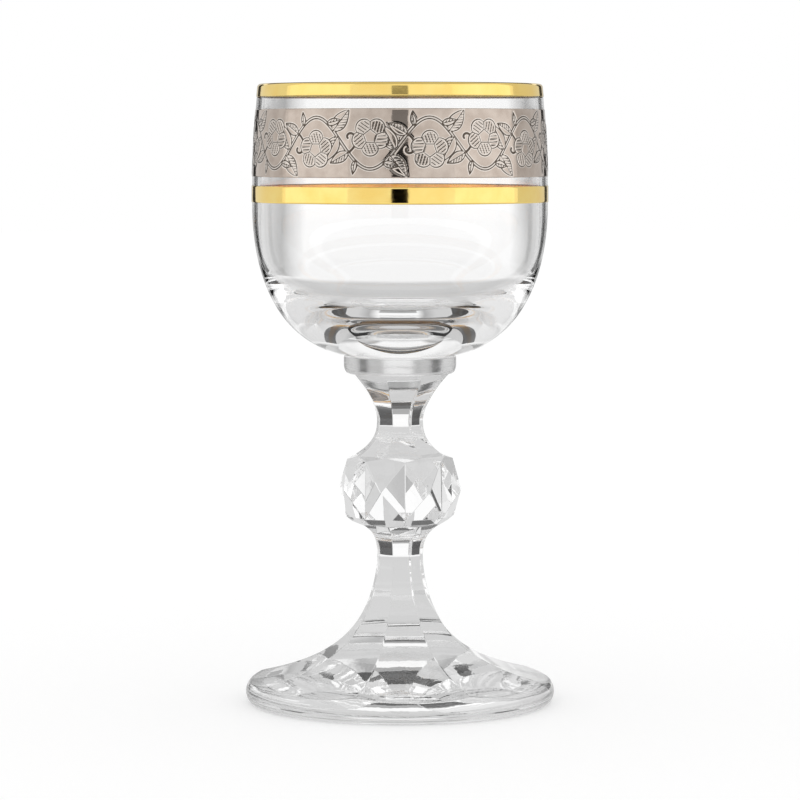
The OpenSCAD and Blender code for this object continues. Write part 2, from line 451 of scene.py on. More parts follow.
def flare(z, waist_z, waist_flat, end_z, flat_at_end, power):
    """Flat distance on a flare that spreads from a waist to an end."""
    share = max(0.0, (z - waist_z) / (end_z - waist_z))
    return waist_flat + (flat_at_end - waist_flat) * share ** power


def upper_flat(z):
    """Flat distance of the upper stem at a height."""
    if z > upper_waist_z:
        return flare(z, upper_waist_z, upper_waist_flat, button_low, button_flat,
                     upper_flare_power)
    return flare(z, upper_waist_z, upper_waist_flat, knop_high, shoulder_flat,
                 shoulder_flare_power)


def lower_flat(z):
    """Flat distance of the lower stem, and of the foot below it, at a height."""
    if z > lower_waist_z:
        return flare(z, lower_waist_z, lower_waist_flat, knop_low, underside_flat,
                     underside_flare_power)
    share = (lower_waist_z - z) / (lower_waist_z - foot_edge_z)
    spread = share ** foot_flare_power / (1 + foot_flare_pull * (1 - share))
    return lower_waist_flat + (foot_radius - lower_waist_flat) * spread


print(f"waists at {lower_waist_z:.1f} and {upper_waist_z:.1f} mm, "
      f"{2 * lower_waist_flat:.2f} mm across the flats")

# %% Make both stems
stem_step = 0.16


def make_stem(name, low, high, flat_at, waist_flat):
    """A panelled stem with a joint at each end, and its rings."""
    heights = np.linspace(low, high, round((high - low) / stem_step) + 1)
    rings, normals = panelled_wall(heights, flat_at, waist_flat)
    return close_rings(name, rings, normals, "joint", "joint"), rings


upper_stem, upper_rings = make_stem(
    "upper_stem_glass", knop_high, button_low, upper_flat, upper_waist_flat)
finish_glass(upper_stem, pressed_crystal, "upper_stem")
lower_stem, lower_rings = make_stem(
    "lower_stem_glass", foot_top, knop_low, lower_flat, lower_waist_flat)
finish_glass(lower_stem, pressed_crystal, "lower_stem")

# %% [markdown]
# ## The foot
#
# The panels run out until they meet a round rim, and because a flat panel reaches the
# rim later in its middle than at its ridges, the meeting line is a row of shallow
# scallops. That line isn't drawn here. At each height the panelled section and the
# round one are compared, and the smaller wins, with a small blend between them. The
# underside has a flat ring to stand on and a shallow hollow that never touches the
# table, and each of the two has its own crystal.

# %% Profile of the round rim and the underside
rim_line_z = 1.9
rim_round_w = 3.3
rim_rise = 1.2
rim_top_z = foot_edge_z + rim_rise
rest_radius = 24.9
hollow_radius = 22.5
hollow_h = 1.2
scallop_blend = 0.5
rim_steps = 14
hollow_steps = 16
edge_rows, scallop_rows, flare_rows = 24, 48, 64
scallop_reach = 0.1
flare_crowding = 1.6
down_normal_z = -0.8
UNDERSIDE_SLOT, WORN_SLOT = 2, 3


def rim_radius(z):
    """Radius of the rounded upper edge of the rim at a height."""
    sine = min(1.0, max(0.0, (z - rim_line_z) / (rim_top_z - rim_line_z)))
    return foot_radius - rim_round_w * (1 - math.sqrt(1 - sine * sine))


def smaller(a, b, blend):
    """The smaller of two values, with a smooth change where they are close."""
    near = np.maximum(blend - np.abs(a - b), 0) / blend
    return np.minimum(a, b) - near * near * blend / 4


def underside_profile():
    """Radius and height from the middle of the hollow out to the rim's widest line."""
    profile = []
    for share in np.linspace(0, 1, hollow_steps + 1)[1:]:
        profile.append((hollow_radius * share, hollow_h * (1 - share * share)))
    for angle in np.linspace(0, math.pi / 2, rim_steps + 1):
        profile.append((rest_radius + (foot_radius - rest_radius) * math.sin(angle),
                        rim_line_z * (1 - math.cos(angle))))
    return profile


def upper_heights():
    """Heights of the rings above the widest line, close together round the scallops."""
    edge = np.linspace(rim_line_z, foot_edge_z, edge_rows)[1:]
    scallops = np.linspace(foot_edge_z, rim_top_z + scallop_reach, scallop_rows)[1:]
    rise = np.linspace(0, 1, flare_rows)[1:] ** flare_crowding
    return np.concatenate([edge, scallops, scallops[-1] + (foot_top - scallops[-1]) * rise])


def foot_ring(z):
    """Points of one ring: panelled, round, or whichever of the two is smaller."""
    flat = lower_flat(max(z, foot_edge_z))
    ring = octagon_ring(flat, lower_waist_flat)
    reach = np.linalg.norm(ring, axis=1)
    limit = rim_radius(z) if z < rim_top_z else foot_radius + 1
    if z > foot_edge_z:
        radius = smaller(reach, limit, scallop_blend)
    else:
        radius = np.full(len(reach), limit)
    return at_height(ring * (radius / reach)[:, None], z)


def ring_normals(rings):
    """Normals of a stack of rings, worked out from each point's neighbours."""
    across = np.roll(rings, -1, axis=1) - np.roll(rings, 1, axis=1)
    upward = np.empty_like(rings)
    upward[1:-1] = rings[2:] - rings[:-2]
    upward[0] = rings[1] - rings[0]
    upward[-1] = rings[-1] - rings[-2]
    return unit(np.cross(across, upward))


def make_foot():
    """The underside, the round edge, and the panels up to the stem's first ring."""
    directions = unit(octagon_ring(foot_radius, lower_waist_flat))
    rings = []
    for radius, z in underside_profile():
        rings.append(at_height(radius * directions, z))
    for z in upper_heights():
        rings.append(foot_ring(z))
    rings = np.array(rings)
    rings[-1] = lower_rings[0]
    normals = ring_normals(rings)
    joint_normals = panelled_wall([foot_top], lower_flat, lower_waist_flat)[1]
    normals[-1] = joint_normals[0]
    return close_rings("foot_glass", rings, normals, "pole", "joint")


foot = make_foot()
finish_glass(foot, pressed_crystal, "foot")
foot.data.materials.append(underside_crystal)
foot.data.materials.append(worn_crystal)
for face in foot.data.polygons:
    if face.center.z / mm < hollow_h and face.normal.z < down_normal_z:
        reach = math.hypot(face.center.x, face.center.y) / mm
        face.material_index = WORN_SLOT if reach > hollow_radius else UNDERSIDE_SLOT

# %% [markdown]
# ## The button
#
# The stem ends in a round disc, the seat that the hot bowl is fused to. Its underside
# is where the eight panels stop, so its first ring is the stem's last one, and the
# next ring is already round. Its side keeps the rough skin that the mould gave it, and
# its light grey there is painted shade.

# %% Make the button
button_round = 0.85
button_round_h = 1.5
button_top_round = 0.3
button_steps = 8
seat_radius = levels("bowl")[0][1]
side_normal_z = 0.7
MOULDED_SLOT = 2


def make_button():
    """A disc on the stem's last ring, with rounded edges and a flat seat on top."""
    button_radius = max(radius for _, radius in levels("stem_button"))
    directions = unit(upper_rings[-1][:, :2])
    profile = []
    for angle in np.linspace(0, math.pi / 2, button_steps + 1):
        profile.append((button_radius - button_round * (1 - math.sin(angle)),
                        button_low + button_round_h * (1 - math.cos(angle)),
                        math.sin(angle) * button_round_h / button_round, -math.cos(angle)))
    for angle in np.linspace(0, math.pi / 2, button_steps + 1):
        profile.append((button_radius - button_top_round * (1 - math.cos(angle)),
                        seat_z - button_top_round * (1 - math.sin(angle)),
                        math.cos(angle), math.sin(angle)))
    profile.append((seat_radius, seat_z, 0.0, 1.0))
    rings, normals = [upper_rings[-1]], [np.tile(DOWN, (len(directions), 1))]
    for radius, z, outward, upward in profile:
        rings.append(at_height(radius * directions, z))
        normals.append(at_height(outward * directions, upward))
    return close_rings("button_glass", np.array(rings), unit(np.array(normals)), "joint",
                       "seat")


button = make_button()
finish_glass(button, pressed_crystal, "stem_button")
# The button's side takes the crystal that is greyed as painted shade.
button.data.materials.append(moulded_crystal_painted_shade)
for face in button.data.polygons:
    if abs(face.normal.z) < side_normal_z and face.material_index == CRYSTAL_SLOT:
        face.material_index = MOULDED_SLOT

# %% [markdown]
# ## Geometry Nodes: repeats and turned shapes
#
# Two small trees do most of the remaining work. The first one sets copies of a piece
# in a circle round the axis and joins them. The second one turns a profile: it makes a
# plain grid, one column for each step round and one row for each point of the profile,
# and moves each point of the grid to its place.

# %% Helpers for the trees
merge_distance = 1e-6


def new_tree(name, inputs):
    """A Geometry Nodes tree with a geometry input and output, and named values."""
    tree = bpy.data.node_groups.new(name, "GeometryNodeTree")
    kinds = {"Geometry": "NodeSocketGeometry", **inputs}
    for label, kind in kinds.items():
        tree.interface.new_socket(label, in_out="INPUT", socket_type=kind)
    tree.interface.new_socket("Geometry", in_out="OUTPUT", socket_type="NodeSocketGeometry")
    return tree, tree.nodes.new("NodeGroupInput"), tree.nodes.new("NodeGroupOutput")


def end_tree(tree, geometry, material, result):
    """Makes the geometry real, joins what touches and gives it its material."""
    real = tree.nodes.new("GeometryNodeRealizeInstances")
    merge = tree.nodes.new("GeometryNodeMergeByDistance")
    smooth = tree.nodes.new("GeometryNodeSetShadeSmooth")
    finish = tree.nodes.new("GeometryNodeSetMaterial")
    feed(tree, real, {"Geometry": geometry})
    feed(tree, merge, {"Geometry": real.outputs["Geometry"], "Distance": merge_distance})
    feed(tree, smooth, {"Geometry": merge.outputs["Geometry"]})
    feed(tree, finish, {"Geometry": smooth.outputs["Geometry"], "Material": material})
    feed(tree, result, {"Geometry": finish.outputs["Geometry"]})


def run_tree(name, mesh, tree, values):
    """Runs a tree on a mesh and returns an object that holds the plain result."""
    piece = place_object(name, mesh)
    modifier = piece.modifiers.new("shape", "NODES")
    modifier.node_group = tree
    for item in tree.interface.items_tree:
        if item.in_out == "INPUT" and item.name in values:
            modifier[item.identifier] = values[item.name]
    evaluated = piece.evaluated_get(bpy.context.evaluated_depsgraph_get())
    result = bpy.data.meshes.new_from_object(evaluated)
    result.materials.clear()
    result.materials.append(values["Material"])
    piece.modifiers.remove(modifier)
    piece.data = result
    result.name = name
    return piece


# %% Tree: copies in a circle
def make_circle_tree():
    """Copies of a piece, each turned by its share of a full turn."""
    tree, given, result = new_tree(
        "copies in a circle", {"Copies": "NodeSocketInt", "Material": "NodeSocketMaterial"})
    spots = tree.nodes.new("GeometryNodeMeshLine")
    feed(tree, spots, {"Offset": (0.0, 0.0, 0.0), "Count": given.outputs["Copies"]})
    index = tree.nodes.new("GeometryNodeInputIndex").outputs["Index"]
    turn = math_node(tree, "DIVIDE", math_node(tree, "MULTIPLY", index, 2 * math.pi),
                     given.outputs["Copies"])
    angles = tree.nodes.new("ShaderNodeCombineXYZ")
    feed(tree, angles, {"Z": turn})
    place = tree.nodes.new("GeometryNodeInstanceOnPoints")
    feed(tree, place, {"Points": spots.outputs["Mesh"], "Instance": given.outputs["Geometry"],
                       "Rotation": angles.outputs["Vector"]})
    end_tree(tree, place.outputs["Instances"], given.outputs["Material"], result)
    return tree


circle_tree = make_circle_tree()


# %% Tree: a turned shape
def make_lathe_tree():
    """A grid whose points are read from the profile and turned round the axis."""
    tree, given, result = new_tree(
        "turned shape", {"Steps round": "NodeSocketInt", "Material": "NodeSocketMaterial"})
    size = tree.nodes.new("GeometryNodeAttributeDomainSize")
    feed(tree, size, {"Geometry": given.outputs["Geometry"]})
    rows = size.outputs["Point Count"]
    grid = tree.nodes.new("GeometryNodeMeshGrid")
    columns = math_node(tree, "ADD", given.outputs["Steps round"], 1.0)
    feed(tree, grid, {"Vertices X": columns, "Vertices Y": rows})
    index = tree.nodes.new("GeometryNodeInputIndex").outputs["Index"]
    column = math_node(tree, "FLOOR", math_node(
        tree, "DIVIDE", math_node(tree, "ADD", index, 0.5), rows))
    row = math_node(tree, "SUBTRACT", index, math_node(tree, "MULTIPLY", column, rows))
    profile = tree.nodes.new("GeometryNodeSampleIndex")
    profile.data_type = "FLOAT_VECTOR"
    position = tree.nodes.new("GeometryNodeInputPosition").outputs[0]
    feed(tree, profile, {"Geometry": given.outputs["Geometry"], "Value": position,
                         "Index": row})
    angle = math_node(tree, "DIVIDE", math_node(tree, "MULTIPLY", column, 2 * math.pi),
                      given.outputs["Steps round"])
    turn = tree.nodes.new("ShaderNodeVectorRotate")
    turn.rotation_type = "Z_AXIS"
    feed(tree, turn, {"Vector": profile.outputs["Value"], "Angle": angle})
    shape = tree.nodes.new("GeometryNodeSetPosition")
    feed(tree, shape, {"Geometry": grid.outputs["Mesh"], "Position": turn.outputs["Vector"]})
    end_tree(tree, shape.outputs["Geometry"], given.outputs["Material"], result)
    return tree


lathe_tree = make_lathe_tree()


def turned(name, profile, steps_round, material):
    """Turns a profile of radii and heights. It runs up the outside and down the inside."""
    points = [(radius, 0.0, z) for radius, z in profile]
    edges = [(i, i + 1) for i in range(len(points) - 1)]
    mesh = mesh_in_metres(name + " profile", points, [], edges)
    return run_tree(name, mesh, lathe_tree, {"Steps round": steps_round, "Material": material})


# %% [markdown]
# ## The knop
#
# Eight four-sided points stand round the knop, so one eighth of it is listed face by
# face, and the first tree sets eight of them in a circle. A pressed edge is never sharp: a
# narrow bevel runs along each one. Every bevel takes the normals of the two faces beside
# it, so that it shades as a rounded edge while the faces stay flat.

# %% Make one eighth of the knop
edge_bevel = 0.08
flattest_edge = 0.02
neck_ledge = 0.12


def knop_rings():
    """Radius, height and turn of the six rings of corners, lowest first."""
    turns = (half_panel, 0.0, 0.0, half_panel, 0.0, half_panel)
    rings = [[radius, z, turn] for (z, radius), turn in zip(levels("knop"), turns)]
    rings[0][0] += neck_ledge
    rings[-1][0] += neck_ledge
    return rings


def knop_sector():
    """The faces between one panel's middle and the next, as a mesh."""
    base, under, lower, tip, upper, neck = knop_rings()

    def corner(ring, step):
        radius, z, turn = ring
        angle = 2 * half_panel * step + turn
        return (radius * math.cos(angle), radius * math.sin(angle), z)

    faces = [
        (corner(neck, 0), corner(upper, 0), corner(upper, 1)),
        (corner(neck, 0), corner(upper, 1), corner(neck, 1)),
        (corner(upper, 0), corner(tip, 0), corner(upper, 1)),
        (corner(tip, 0), corner(lower, 0), corner(lower, 1)),
        (corner(upper, 0), corner(lower, 0), corner(tip, 0)),
        (corner(upper, 1), corner(tip, 0), corner(lower, 1)),
        (corner(lower, 0), corner(under, 0), corner(under, 1), corner(lower, 1)),
        (corner(under, 0), corner(base, 0), corner(under, 1)),
        (corner(under, 1), corner(base, 0), corner(base, 1))]
    points = [p for face in faces for p in face]
    starts = np.cumsum([0] + [len(face) for face in faces])
    return mesh_in_metres("one eighth of the knop", points,
                          [tuple(range(a, b)) for a, b in zip(starts, starts[1:])])


# %% Bevel the knop's edges and seat both stems on it
def zip_loops(outer, inner, points):
    """Triangles between two loops of point numbers round the axis, seen from above."""
    def sorted_loop(loop):
        angles = [math.atan2(points[i][1], points[i][0]) % (2 * math.pi) for i in loop]
        order = sorted(range(len(loop)), key=lambda k: angles[k])
        return [loop[k] for k in order], [angles[k] for k in order]

    outer, outer_angles = sorted_loop(outer)
    inner, inner_angles = sorted_loop(inner)
    triangles = []
    i = j = 0
    while i < len(outer) or j < len(inner):
        next_outer = outer_angles[i + 1] if i + 1 < len(outer) else outer_angles[0] + 2 * math.pi
        next_inner = inner_angles[j + 1] if j + 1 < len(inner) else inner_angles[0] + 2 * math.pi
        a, b = outer[i % len(outer)], inner[j % len(inner)]
        if j >= len(inner) or (i < len(outer) and next_outer <= next_inner):
            triangles.append((a, outer[(i + 1) % len(outer)], b))
            i += 1
        else:
            triangles.append((a, inner[(j + 1) % len(inner)], b))
            j += 1
    return triangles


def largest_normals(faces):
    """For each corner, the normal of the largest face that meets it."""
    largest = {}
    for face in faces:
        for vert in face.verts:
            best = largest.get(vert.index)
            if best is None or face.calc_area() > best[0]:
                largest[vert.index] = (face.calc_area(), tuple(face.normal))
    return {index: best[1] for index, best in largest.items()}


def make_knop():
    """The ring of points with bevelled edges, and a joint in the middle of each end."""
    rough = run_tree("rough_knop", knop_sector(), circle_tree,
                     {"Copies": panel_count, "Material": pressed_crystal})
    shape = bmesh.new()
    shape.from_mesh(rough.data)
    bpy.data.objects.remove(rough)
    middle = (knop_low + knop_high) / 2 * mm
    open_edges = [e for e in shape.edges if e.is_boundary]
    bmesh.ops.contextual_create(shape, geom=[e for e in open_edges if e.verts[0].co.z > middle])
    bmesh.ops.contextual_create(shape, geom=[e for e in shape.edges if e.is_boundary])
    ends = {round(knop_low, 3), round(knop_high, 3)}

    def on_end(vert):
        return round(vert.co.z / mm, 3) in ends

    edges = [e for e in shape.edges if e.calc_face_angle(0) > flattest_edge
             and not (on_end(e.verts[0]) and on_end(e.verts[1]))]
    bmesh.ops.bevel(shape, geom=edges, offset=edge_bevel * mm, segments=1, affect="EDGES")
    shape.normal_update()
    shape.verts.index_update()
    points = [np.array(v.co) / mm for v in shape.verts]
    caps = [f for f in shape.faces if all(on_end(v) for v in f.verts)]
    sides = [f for f in shape.faces if f not in caps]
    normals = largest_normals(sides)
    faces = [tuple(v.index for v in face.verts) for face in sides]
    corner_normals = [[normals[v.index] for v in face.verts] for face in sides]
    slots = [CRYSTAL_SLOT] * len(sides)
    for cap in caps:
        top = cap.normal.z > 0
        way = UP if top else DOWN
        outer = [v.index for v in cap.verts]
        ring = upper_rings[0] if top else lower_rings[-1]
        inner = list(range(len(points), len(points) + len(ring)))
        points.extend(ring)
        for triangle in zip_loops(outer, inner, points):
            faces.append(triangle if top else triangle[::-1])
            corner_normals.append([way] * 3)
            slots.append(CRYSTAL_SLOT)
        faces.append(tuple(inner if top else inner[::-1]))
        corner_normals.append([way] * len(inner))
        slots.append(JOINT_SLOT)
    shape.free()
    return build_mesh("knop_glass", points, faces, corner_normals, slots)


knop = make_knop()
finish_glass(knop, pressed_crystal, "knop")

# %% [markdown]
# ## The bowl
#
# The bowl is blown and turned, so one profile says it all: from the middle of the seat
# out and up the outside, over a fully rounded lip, and down the inside to a base four
# millimetres thick. Below the widest line each wall falls away as a superellipse, which
# is fuller than a circle at the side and flatter below. The second tree turns it. The
# flat seat at its foot gets a sharp edge, so that the joint with the button keeps a
# clear outline.

# %% Profile of the bowl
outer_fall_power = 2.17
outer_round_power = 3.0
inner_fall_power = 3.2
inner_round_power = 2.5
wall = 1.2
lip_wall = 1.1
base_thickness = 4.3
gold_thickness = 0.1
belly_z, belly_radius = max(levels("bowl"), key=lambda level: level[1])
lip_radius = lip_wall / 2
lip_z = glass_top - gold_thickness - lip_radius
rim_radius_outside = 24.0
bowl_columns = 224
lower_points, upper_points, lip_point_count = 64, 24, 17
seat_tolerance = 0.001
inner_bottom_z = seat_z + base_thickness


def fall_share(depth_share, fall, rounding):
    """Radius on a superellipse, as a share of its widest, at a share of its depth."""
    return max(0.0, 1 - depth_share ** fall) ** (1 / rounding)


seat_depth_share = (1 - (seat_radius / belly_radius) ** outer_round_power) ** (
    1 / outer_fall_power)


def draw_in(z, at_belly, at_lip):
    """Radius of a wall above the widest line."""
    return at_belly - (at_belly - at_lip) * ((z - belly_z) / (lip_z - belly_z)) ** 2


def outside_r(z):
    """Radius of the bowl's outside at a height."""
    if z > belly_z:
        return draw_in(z, belly_radius, rim_radius_outside)
    depth_share = (belly_z - z) / (belly_z - seat_z) * seat_depth_share
    return belly_radius * fall_share(depth_share, outer_fall_power, outer_round_power)


def inside_r(z):
    """Radius of the bowl's inside at a height."""
    if z > belly_z:
        return draw_in(z, belly_radius - wall, rim_radius_outside - lip_wall)
    depth_share = (belly_z - z) / (belly_z - inner_bottom_z)
    return (belly_radius - wall) * fall_share(depth_share, inner_fall_power, inner_round_power)


def wall_points(radius_at, low, high, count, out=0.0):
    """Points up a wall, evenly spaced, moved out by a coat's thickness."""
    return [(radius_at(z) + out, z) for z in np.linspace(low, high, count)]


def lip_points(out=0.0):
    """Points over the rounded lip, from the outside to the inside."""
    middle = rim_radius_outside - lip_radius
    return [(middle + (lip_radius + out) * math.cos(a), lip_z + (lip_radius + out) * math.sin(a))
            for a in np.linspace(0, math.pi, lip_point_count)]


def whole_wall(radius_at, bottom_z):
    """Points up a wall, close together where it turns, and even above the widest line."""
    depths = [(belly_z - bottom_z) * math.cos(a) for a in np.linspace(0, math.pi / 2, lower_points)]
    below = [(radius_at(belly_z - depth), belly_z - depth) for depth in depths]
    return below + wall_points(radius_at, belly_z, lip_z, upper_points)[1:]


def bowl_profile():
    """The seat, up the outside, over the lip, and down to the middle of the base."""
    outside, inside = whole_wall(outside_r, seat_z), whole_wall(inside_r, inner_bottom_z)
    return [(0.0, seat_z)] + outside + lip_points()[1:-1] + inside[::-1]


bowl = turned("bowl_glass", bowl_profile(), bowl_columns, blown_crystal)


# %% Keep a sharp edge round the seat
def sharpen_seat(piece, z):
    """Gives the flat faces at a height a sharp edge round them."""
    mesh = piece.data
    level = [abs(v.co.z / mm - z) < seat_tolerance for v in mesh.vertices]
    kinds = {}
    for face in mesh.polygons:
        flat = all(level[i] for i in face.vertices)
        for key in face.edge_keys:
            kinds.setdefault(key, set()).add(flat)
    for edge in mesh.edges:
        edge.use_edge_sharp = len(kinds[edge.key]) > 1


sharpen_seat(bowl, seat_z)
finish_glass(bowl, blown_crystal, "bowl")

# %% [markdown]
# ## Finishes: fired metal
#
# Bright gold and platinum are painted on, fired, and never polished, so they keep a
# soft mirror with faint clouds where the paint lay thinner. Both metals use one group
# for that: it puts out the share of thin paint, in clouds, and a roughness that follows
# them. Each metal mixes its two colours by that share.
#
# The inner side of a coat shows only through glass, or inside the lip, and its colour
# there is painted shade: a darker, deeper orange behind the lower gold, a soft, darker
# grey-brown behind the platinum, and a dark brown inside the lip. So each of them has its
# own finish.

# %% Node group: clouds of fired metal
def make_fired_group():
    """Clouds where the paint lay thin, and the roughness there."""
    group, given, result = new_group(
        "clouds of fired metal",
        {"Clouds per metre": 300.0, "Roughness": 0.1, "Roughness change": 0.08},
        {"Thin share": "NodeSocketFloat", "Roughness": "NodeSocketFloat"})
    place = group.nodes.new("ShaderNodeTexCoord").outputs["Object"]
    clouds = noise(group, place, given.outputs["Clouds per metre"], detail=3.0)
    spread = group.nodes.new("ShaderNodeMapRange")
    feed(group, spread, {"Value": clouds, "From Min": 0.35, "From Max": 0.7})
    share = spread.outputs["Result"]
    roughness = math_node(group, "MULTIPLY_ADD", share, given.outputs["Roughness change"],
                          given.outputs["Roughness"])
    feed(group, result, {"Thin share": share, "Roughness": roughness})
    return group


fired_group = make_fired_group()


def mix_colours(tree, factor, first, second):
    """A Mix node's colour output. Each colour is four numbers or a socket."""
    node = tree.nodes.new("ShaderNodeMix")
    node.data_type = "RGBA"
    feed(tree, node, {"Factor": factor})
    for label, value in (("A", first), ("B", second)):
        socket = next(s for s in node.inputs if s.name == label and s.type == "RGBA")
        if isinstance(value, tuple):
            socket.default_value = value
        else:
            tree.links.new(value, socket)
    return next(s for s in node.outputs if s.type == "RGBA")


def soft_step(tree, value, low, high):
    """A value that rises from 0 to 1 between two limits."""
    node = tree.nodes.new("ShaderNodeMapRange")
    node.interpolation_type = "SMOOTHSTEP"
    feed(tree, node, {"Value": value, "From Min": low, "From Max": high})
    return node.outputs["Result"]


# %% Fired gold
def add_clouds(tree, clouds_per_metre, roughness):
    """A node of the clouds' group, with two outputs: share of thin paint, and roughness."""
    return add_group(tree, fired_group, {"Clouds per metre": clouds_per_metre,
                                         "Roughness": roughness, "Roughness change": 0.05})


def make_coat(name, thick, thin, roughness):
    """A fired coat, from its colour where the paint lay thick to where it lay thin."""
    material, tree, shader = new_material(name)
    fired = add_clouds(tree, 260.0, roughness)
    colour = mix_colours(tree, fired.outputs["Thin share"], thick + (1.0,), thin + (1.0,))
    feed(tree, shader, {"Base Color": colour, "Roughness": fired.outputs["Roughness"],
                        "Metallic": 1.0})
    add_waves(tree, shader, waves_per_metre=200.0, fine_share=0.2, distance=0.00002)
    return material


fired_gold = make_coat("fired gold", (0.99, 0.76, 0.26), (0.97, 0.69, 0.20), 0.05)
# Painted shade: a darker, deeper orange copy of the gold for its inner side seen through glass.
gold_under_glass_painted_shade = make_coat("gold under glass, painted shade", (1.0, 0.60, 0.15), (1.0, 0.48, 0.09), 0.10)
# Painted shade: a dark brown copy of the gold for the inside of the lip.
gold_inside_lip_painted_shade = make_coat("gold inside the lip, painted shade", (0.52, 0.32, 0.15), (0.22, 0.12, 0.06), 0.3)


# %% Fired platinum, with painted shade in the cuts and a painted highlight along them
def make_platinum():
    """Platinum with a painted highlight along each cut and painted shade in it."""
    bright, dull = (0.58, 0.50, 0.437, 1.0), (0.46, 0.385, 0.33, 1.0)
    painted_highlight_colour, painted_shade_colour = (0.80, 0.74, 0.68, 1.0), (0.09, 0.07, 0.055, 1.0)
    painted_highlight_limits, painted_shade_limits, line_roughness = (0.05, 0.3), (0.35, 0.85), 0.25
    material, tree, shader = new_material("fired platinum")
    fired = add_clouds(tree, 420.0, 0.05)
    face = mix_colours(tree, fired.outputs["Thin share"], bright, dull)
    cut = tree.nodes.new("ShaderNodeAttribute")
    cut.attribute_name = "cut"
    # The pale band along each cut (the share called beside) is a painted highlight.
    beside = soft_step(tree, cut.outputs["Fac"], *painted_highlight_limits)
    # The dark line in each cut is painted shade.
    line = soft_step(tree, cut.outputs["Fac"], *painted_shade_limits)
    with_painted_highlight = mix_colours(tree, beside, face, painted_highlight_colour)
    colour = mix_colours(tree, line, with_painted_highlight, painted_shade_colour)
    roughness = math_node(tree, "MULTIPLY_ADD", line, line_roughness,
                          fired.outputs["Roughness"])
    feed(tree, shader, {"Base Color": colour, "Roughness": roughness, "Metallic": 1.0})
    add_waves(tree, shader, waves_per_metre=200.0, fine_share=0.3, distance=0.00002)
    return material


fired_platinum = make_platinum()
# Painted shade: a darker grey-brown copy of the platinum for its inner side.
platinum_under_glass_painted_shade = make_coat(
    "platinum under glass, painted shade", (0.42, 0.36, 0.31), (0.34, 0.28, 0.24), 0.35)

# %% [markdown]
# ## Gold bands
#
# Each coat is a thin closed shell. Its inner face lies a little inside the glass, so
# that no two faces share one place, and its edges are chamfered, because fired metal
# thins out at its border. From behind, through the clear wall, the inner face shows.

# %% Make the two gold bands
INNER_SLOT = 1
sunk = 0.02
band_edge = 0.05
edge_share = 0.4
lip_reach = 2.5
band_points, rim_points = 12, 10
facing_inward = 0.5


def finish_inner_side(piece, finish):
    """Gives the faces that look towards the axis a finish of their own."""
    piece.data.materials.append(finish)
    for face in piece.data.polygons:
        inward = -(face.normal.x * face.center.x + face.normal.y * face.center.y)
        if inward / math.hypot(face.center.x, face.center.y) > facing_inward:
            face.material_index = INNER_SLOT


def finish_metal(piece, node):
    """Ties a coat to the part."""
    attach(piece, "root")
    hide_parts(node)
    print(piece.name, "has", len(piece.data.polygons), "faces")


def band_profile(low, high, thickness, count):
    """A closed profile round a coat on the outside of the bowl."""
    edge_out = thickness * edge_share
    outer = wall_points(outside_r, low + band_edge, high - band_edge, count, thickness)
    inner = wall_points(outside_r, low, high, count, -sunk)
    profile = [inner[0], (outside_r(low) + edge_out, low)] + outer
    return profile + [(outside_r(high) + edge_out, high)] + inner[::-1]


def rim_profile():
    """The coat over the lip: outside, over the top, inside, and back within the glass."""
    inside_low = glass_top - lip_reach
    edge_out = gold_thickness * edge_share
    outer = wall_points(outside_r, rim_low + band_edge, lip_z, rim_points, gold_thickness)
    inner = wall_points(inside_r, inside_low + band_edge, lip_z, rim_points, -gold_thickness)
    back_outer = wall_points(outside_r, rim_low, lip_z, rim_points, -sunk)
    back_inner = wall_points(inside_r, inside_low, lip_z, rim_points, sunk)
    profile = [back_outer[0], (outside_r(rim_low) + edge_out, rim_low)] + outer
    profile += lip_points(gold_thickness)[1:-1] + inner[::-1]
    profile += [(inside_r(inside_low) - edge_out, inside_low), back_inner[0]]
    return profile + back_inner[1:] + lip_points(-sunk)[::-1][1:-1] + back_outer[::-1]


lower_profile = band_profile(gold_low, gold_high, gold_thickness, band_points)
lower_gold = turned("lower_gold_coat", lower_profile, bowl_columns, fired_gold)
finish_inner_side(lower_gold, gold_under_glass_painted_shade)
finish_metal(lower_gold, "gold_band")
rim_gold = turned("rim_gold_coat", rim_profile(), bowl_columns, fired_gold)
finish_inner_side(rim_gold, gold_inside_lip_painted_shade)
finish_metal(rim_gold, "rim_gilding")

# %% [markdown]
# ## The flower scroll
#
# The platinum covers a shallow relief: a vine winds between two flowers in each of
# eight repeats, with leaves and curling shoots beside it. Relief like this is easiest
# to make as a map of heights. Each motif is a distance, to a line or to an outline, and
# a few rules turn distances into heights: a vine is a rounded ridge, a leaf has a
# groove round it, a rib down its middle and fine cuts on one side, and a petal is a low
# dome with hatching. One repeat is a curved tile, and the first tree sets eight of them
# round the bowl.

# %% The field that the relief is drawn on
frieze_h = frieze_high - frieze_low
frieze_mid_z = (frieze_low + frieze_high) / 2
repeat_w = 2 * math.pi * outside_r(frieze_mid_z) / panel_count
tile_columns = 144
tile_rows = 78
across, up = np.meshgrid(np.linspace(0, repeat_w, tile_columns + 1),
                         np.linspace(0, frieze_h, tile_rows + 1), indexing="ij")
line_w = 0.15
fine_line_w = 0.12
outline_soft = 0.12
raised = 0.05
vine_level = raised * 1.2
petal_level = raised * 0.8
groove = 0.055


def wrapped(offset):
    """A distance across, taken to the nearest repeat."""
    return (offset + repeat_w / 2) % repeat_w - repeat_w / 2


def fade(distance, start, width):
    """0 up to a start, 1 from a width beyond it, and between them in between."""
    return np.clip((distance - start) / width, 0, 1)


